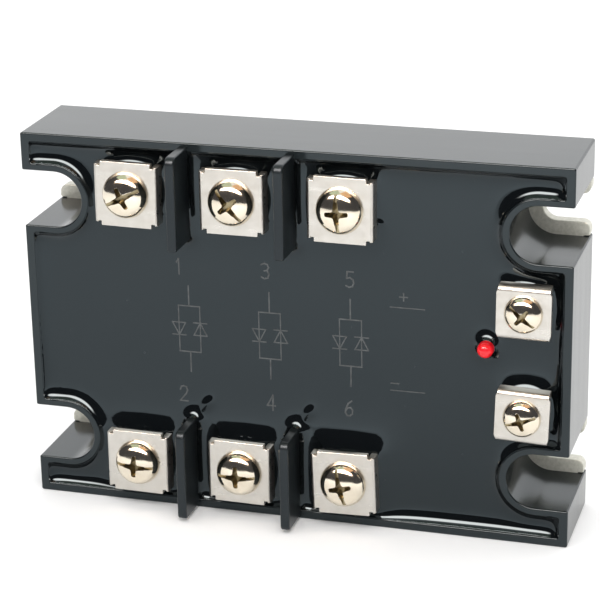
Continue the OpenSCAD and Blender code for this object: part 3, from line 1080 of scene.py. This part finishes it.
# Each mark's strokes in a box one unit wide and high
STROKES = {
    "1": [[(0.25, 0.78), (0.5, 1), (0.5, 0)]],
    "2": [[(0.08, 0.75), (0.2, 0.94), (0.5, 1), (0.8, 0.94), (0.92, 0.72), (0.75, 0.48), (0.06, 0), (0.95, 0)]],
    "3": [[(0.08, 0.92), (0.4, 1), (0.75, 0.94), (0.88, 0.76), (0.72, 0.56), (0.4, 0.52)],
          [(0.72, 0.54), (0.92, 0.3), (0.76, 0.06), (0.4, 0), (0.06, 0.1)]],
    "4": [[(0.7, 0), (0.7, 1), (0.04, 0.3), (0.96, 0.3)]],
    "5": [[(0.88, 1), (0.2, 1), (0.14, 0.56), (0.5, 0.62), (0.84, 0.5), (0.92, 0.28), (0.76, 0.06), (0.4, 0),
           (0.06, 0.08)]],
    "6": [[(0.78, 0.98), (0.4, 0.8), (0.12, 0.42), (0.1, 0.2), (0.3, 0.02), (0.6, 0), (0.88, 0.14), (0.9, 0.38),
           (0.68, 0.54), (0.34, 0.52), (0.12, 0.32)]],
    "plus": [[(0, 0.5), (1, 0.5)], [(0.5, 0), (0.5, 1)]],
    "minus": [[(0, 0.5), (1, 0.5)]],
}


def ink_mark(bm, key, x, z, height, width, line):
    """A mark centred on (x, z)."""
    for stroke in STROKES[key]:
        ink_line(bm, [(x + (u - 0.5) * width, z + (v - 0.5) * height) for u, v in stroke], line)


# Each number and sign with its centre; a sign also has the Z of the line beside it
LABELS = (
    ("1", -22.3, 12.0), ("3", -5.4, 12.4), ("5", 10.8, 12.1),
    ("2", -22.2, -13.6), ("4", -4.8, -13.8), ("6", 10.4, -13.4),
)
SIGNS = (("plus", 20.9, 9.5, 7.4), ("minus", 19.2, -7.6, -9.0))
SIGN_LINE_X = (18.4, 24.8)

# The circuit symbols: their centres, the ends of the leads, the loop's half height and width, and the arrows
SYMBOL_X = (-20.6, -4.8, 10.8)
SYMBOL_Z = -0.4
LEAD_END, LOOP_Z, LOOP_X = 8.6, 4.6, 2.1
ARROW_HALF, ARROW_BASE = 1.3, 1.2


def ink_symbol(bm, x):
    """Two switches back to back between two leads."""
    upper, lower = SYMBOL_Z + LOOP_Z, SYMBOL_Z - LOOP_Z
    for end in (1, -1):
        bar, cx = SYMBOL_Z + end * LOOP_Z, x + end * LOOP_X
        left, right = cx - ARROW_HALF, cx + ARROW_HALF
        base, tip = SYMBOL_Z - end * ARROW_BASE, SYMBOL_Z + end * ARROW_HALF
        ink_line(bm, [(x, SYMBOL_Z + end * LEAD_END), (x, bar)], 0.28)
        ink_line(bm, [(x - LOOP_X, bar), (x + LOOP_X, bar)], 0.28)
        ink_line(bm, [(cx, upper), (cx, lower)], 0.22)
        ink_line(bm, [(left, base), (right, base), (cx, tip)], 0.24, closed=True)
        ink_line(bm, [(left, tip), (right, tip)], 0.24)


def make_print():
    """Generic marks in faded grey: terminal numbers, signs and the circuit's symbol for each phase."""
    bm = bmesh.new()
    for mark, x, z in LABELS:
        ink_mark(bm, mark, x, z, 3.0, 1.7, 0.3)
    for mark, x, z, line_z in SIGNS:
        ink_mark(bm, mark, x, z, 1.4, 1.4, 0.26)
        ink_line(bm, [(end, line_z) for end in SIGN_LINE_X], 0.22)
    for x in SYMBOL_X:
        ink_symbol(bm, x)
    ink = new_piece("printed_marks", bm, smooth=False)
    return finish_piece(ink, "print_ink", "relay_body", slot="potting_resin")


# ---------------- assembly

make_housing()
make_base_plate()
make_resin()
make_lamp()
for t in TERMINALS:
    make_post(t)
    make_clamp(t)
    make_screw(t)
make_print()

# The pieces inside the resin keep their CAD shape
slot_of = {p["node"]: p["material_slot"] for p in frame["record"]["subparts"]}
for name, ob in frame["nodes"].items():
    if ob.hide_render:
        continue
    ob.data.materials.clear()
    ob.data.materials.append(MATERIALS[slot_of[name]])
    soften(ob, 0.08)


# ---------------- studio

FLOOR_Z = -HALF_Z * MM


def make_floor():
    """Pale paper that runs from well in front of the relay to far behind it."""
    bm = bmesh.new()
    side, near, far = 3.0, -1.2, 6.0
    corners = ((-side, near), (side, near), (side, far), (-side, far))
    bm.faces.new([bm.verts.new((x, y, FLOOR_Z)) for x, y in corners])
    floor = new_piece("studio_floor", bm, smooth=False)
    floor.data.materials.append(studio_paper())
    floor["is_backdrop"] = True


def glossy_only(ob):
    """Seen in reflections only, so it adds no light of its own to the floor."""
    ob.visible_camera = False
    ob.visible_diffuse = False
    ob.visible_shadow = False
    ob.visible_transmission = False
    ob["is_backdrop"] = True


def card_material(name, colour, strength, fade=None):
    """An emissive card. fade is half its width and height, over which its glow dies away from the middle."""
    mat, tree, bsdf = shader(name, (0.005, 0.005, 0.006), 0.9)
    bsdf.inputs["Specular IOR Level"].default_value = 0.0
    bsdf.inputs["Emission Strength"].default_value = strength
    dim = tuple(c * 0.94 for c in colour)
    glow = ramp(tree, noise(tree, 5), [(0.3, dim), (0.7, colour)])
    if fade:
        gradient = tree.nodes.new("ShaderNodeTexGradient")
        gradient.gradient_type = "SPHERICAL"
        tree.links.new(own_coords(tree, (1 / fade[0], 1 / fade[1], 1)), gradient.inputs["Vector"])
        edge = ramp(tree, gradient.outputs["Fac"], [(0.0, 0.03), (0.45, 1.0)])
        glow = mix_colour(tree, 1.0, glow, edge, "MULTIPLY")
    tree.links.new(glow, bsdf.inputs["Emission Color"])
    return mat


def make_dark_room():
    """A curved dark card around the front: the unlit room behind the camera."""
    bm = bmesh.new()
    radius, top, half_turn, steps = 0.75, 1.3, 112, 32
    turns = [math.radians(half_turn * (2 * i / steps - 1)) for i in range(steps + 1)]
    rows = []
    for z in (FLOOR_Z + 0.001, top):
        rows.append([bm.verts.new((radius * math.sin(a), -radius * math.cos(a), z)) for a in turns])
    for i in range(steps):
        bm.faces.new((rows[0][i], rows[0][i + 1], rows[1][i + 1], rows[1][i]))
    card = new_piece("dark_card", bm, smooth=False)
    card.data.materials.append(card_material("dark_card", (0.06, 0.06, 0.066), 1.0))
    glossy_only(card)


def make_card(name, centre, target, width, height, colour, strength, soft=False):
    """A glowing rectangle that faces the target."""
    bm = bmesh.new()
    corners = ((-1, -1), (1, -1), (1, 1), (-1, 1))
    bm.faces.new([bm.verts.new((u * width / 2, v * height / 2, 0)) for u, v in corners])
    card = new_piece(name, bm, smooth=False)
    aim(card, centre, target)
    card.data.materials.append(card_material(name, colour, strength, (width / 2, height / 2) if soft else None))
    glossy_only(card)


def aim(ob, place, target):
    """Puts an object in its place, facing the target."""
    ob.location = place
    ob.rotation_euler = (Vector(target) - Vector(place)).to_track_quat("-Z", "Y").to_euler()


def area_light(name, place, target, size, power, colour=(1, 1, 1), height=None):
    """A soft light that isn't seen in reflections; the cards are."""
    light = bpy.data.lights.new(name, "AREA")
    light.shape = "RECTANGLE" if height else "SQUARE"
    light.size = size
    if height:
        light.size_y = height
    light.energy = power
    light.color = colour
    ob = bpy.data.objects.new(name, light)
    bpy.context.scene.collection.objects.link(ob)
    aim(ob, place, target)
    ob.visible_glossy = False


make_floor()
make_dark_room()
area_light("key_light", (0.11, -0.36, 0.42), (0, 0, 0), 0.24, 1.0, (1, 0.99, 0.97), 0.17)
area_light("floor_light", (0.12, 0.42, 0.4), (0.12, 0.36, FLOOR_Z), 0.4, 0.45)
area_light("near_light", (0.0, -0.3, 0.1), (0, -0.06, FLOOR_Z), 0.3, 0.25)
make_card("softbox", (-0.03, -0.39, 0.4), (0, 0, 0), 0.95, 0.24, (1, 0.87, 0.79), 22, soft=True)
make_card("backdrop_glow", (0, 1.6, 0.75), (0, 0, 0), 3.4, 1.5, (1, 1, 1), 1.6)
make_card("tan_card", (0.2, -0.1, 0.6), (0, 0, 0), 0.42, 0.36, (1.0, 0.62, 0.36), 0.95)
make_card("green_card", (-0.24, -0.1, 0.6), (0, 0, 0), 0.42, 0.36, (0.68, 0.78, 0.6), 0.9)

world = bpy.data.worlds.new("studio")
world.use_nodes = True
background = world.node_tree.nodes["Background"]
background.inputs["Color"].default_value = (1, 1, 1, 1)
background.inputs["Strength"].default_value = 1.08
bpy.context.scene.world = world

# ---------------- camera

# Fitted to the corners of the housing in the photograph
YAW, PITCH, ROLL = math.radians(-16.917), math.radians(-20.164), math.radians(-1.112)
CAMERA_AT = Vector((114.80, -391.94, 150.64)) * MM
SENSOR, LENS = 36.0, 135.1


def make_camera():
    """The camera at the photograph's angle, distance and lens."""
    forward = Vector((math.sin(YAW) * math.cos(PITCH), math.cos(YAW) * math.cos(PITCH), math.sin(PITCH)))
    level = Vector((math.cos(YAW), -math.sin(YAW), 0))
    upright = level.cross(forward)
    right = level * math.cos(ROLL) + upright * math.sin(ROLL)
    up = upright * math.cos(ROLL) - level * math.sin(ROLL)
    data = bpy.data.cameras.new("camera")
    data.sensor_width = SENSOR
    data.lens = LENS
    data.clip_start = 0.01
    data.clip_end = 50
    cam = bpy.data.objects.new("camera", data)
    cam.matrix_world = Matrix((
        (right.x, up.x, -forward.x, CAMERA_AT.x),
        (right.y, up.y, -forward.y, CAMERA_AT.y),
        (right.z, up.z, -forward.z, CAMERA_AT.z),
        (0, 0, 0, 1)))
    bpy.context.scene.collection.objects.link(cam)
    bpy.context.scene.camera = cam


make_camera()
bpy.context.scene.view_settings.view_transform = "Standard"

bpy.context.view_layer.update()
visual_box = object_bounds()
boxes = {"cad": CAD_BOX, "visual": visual_box}
{key: [list(map(float, p)) for p in box] for key, box in boxes.items()}
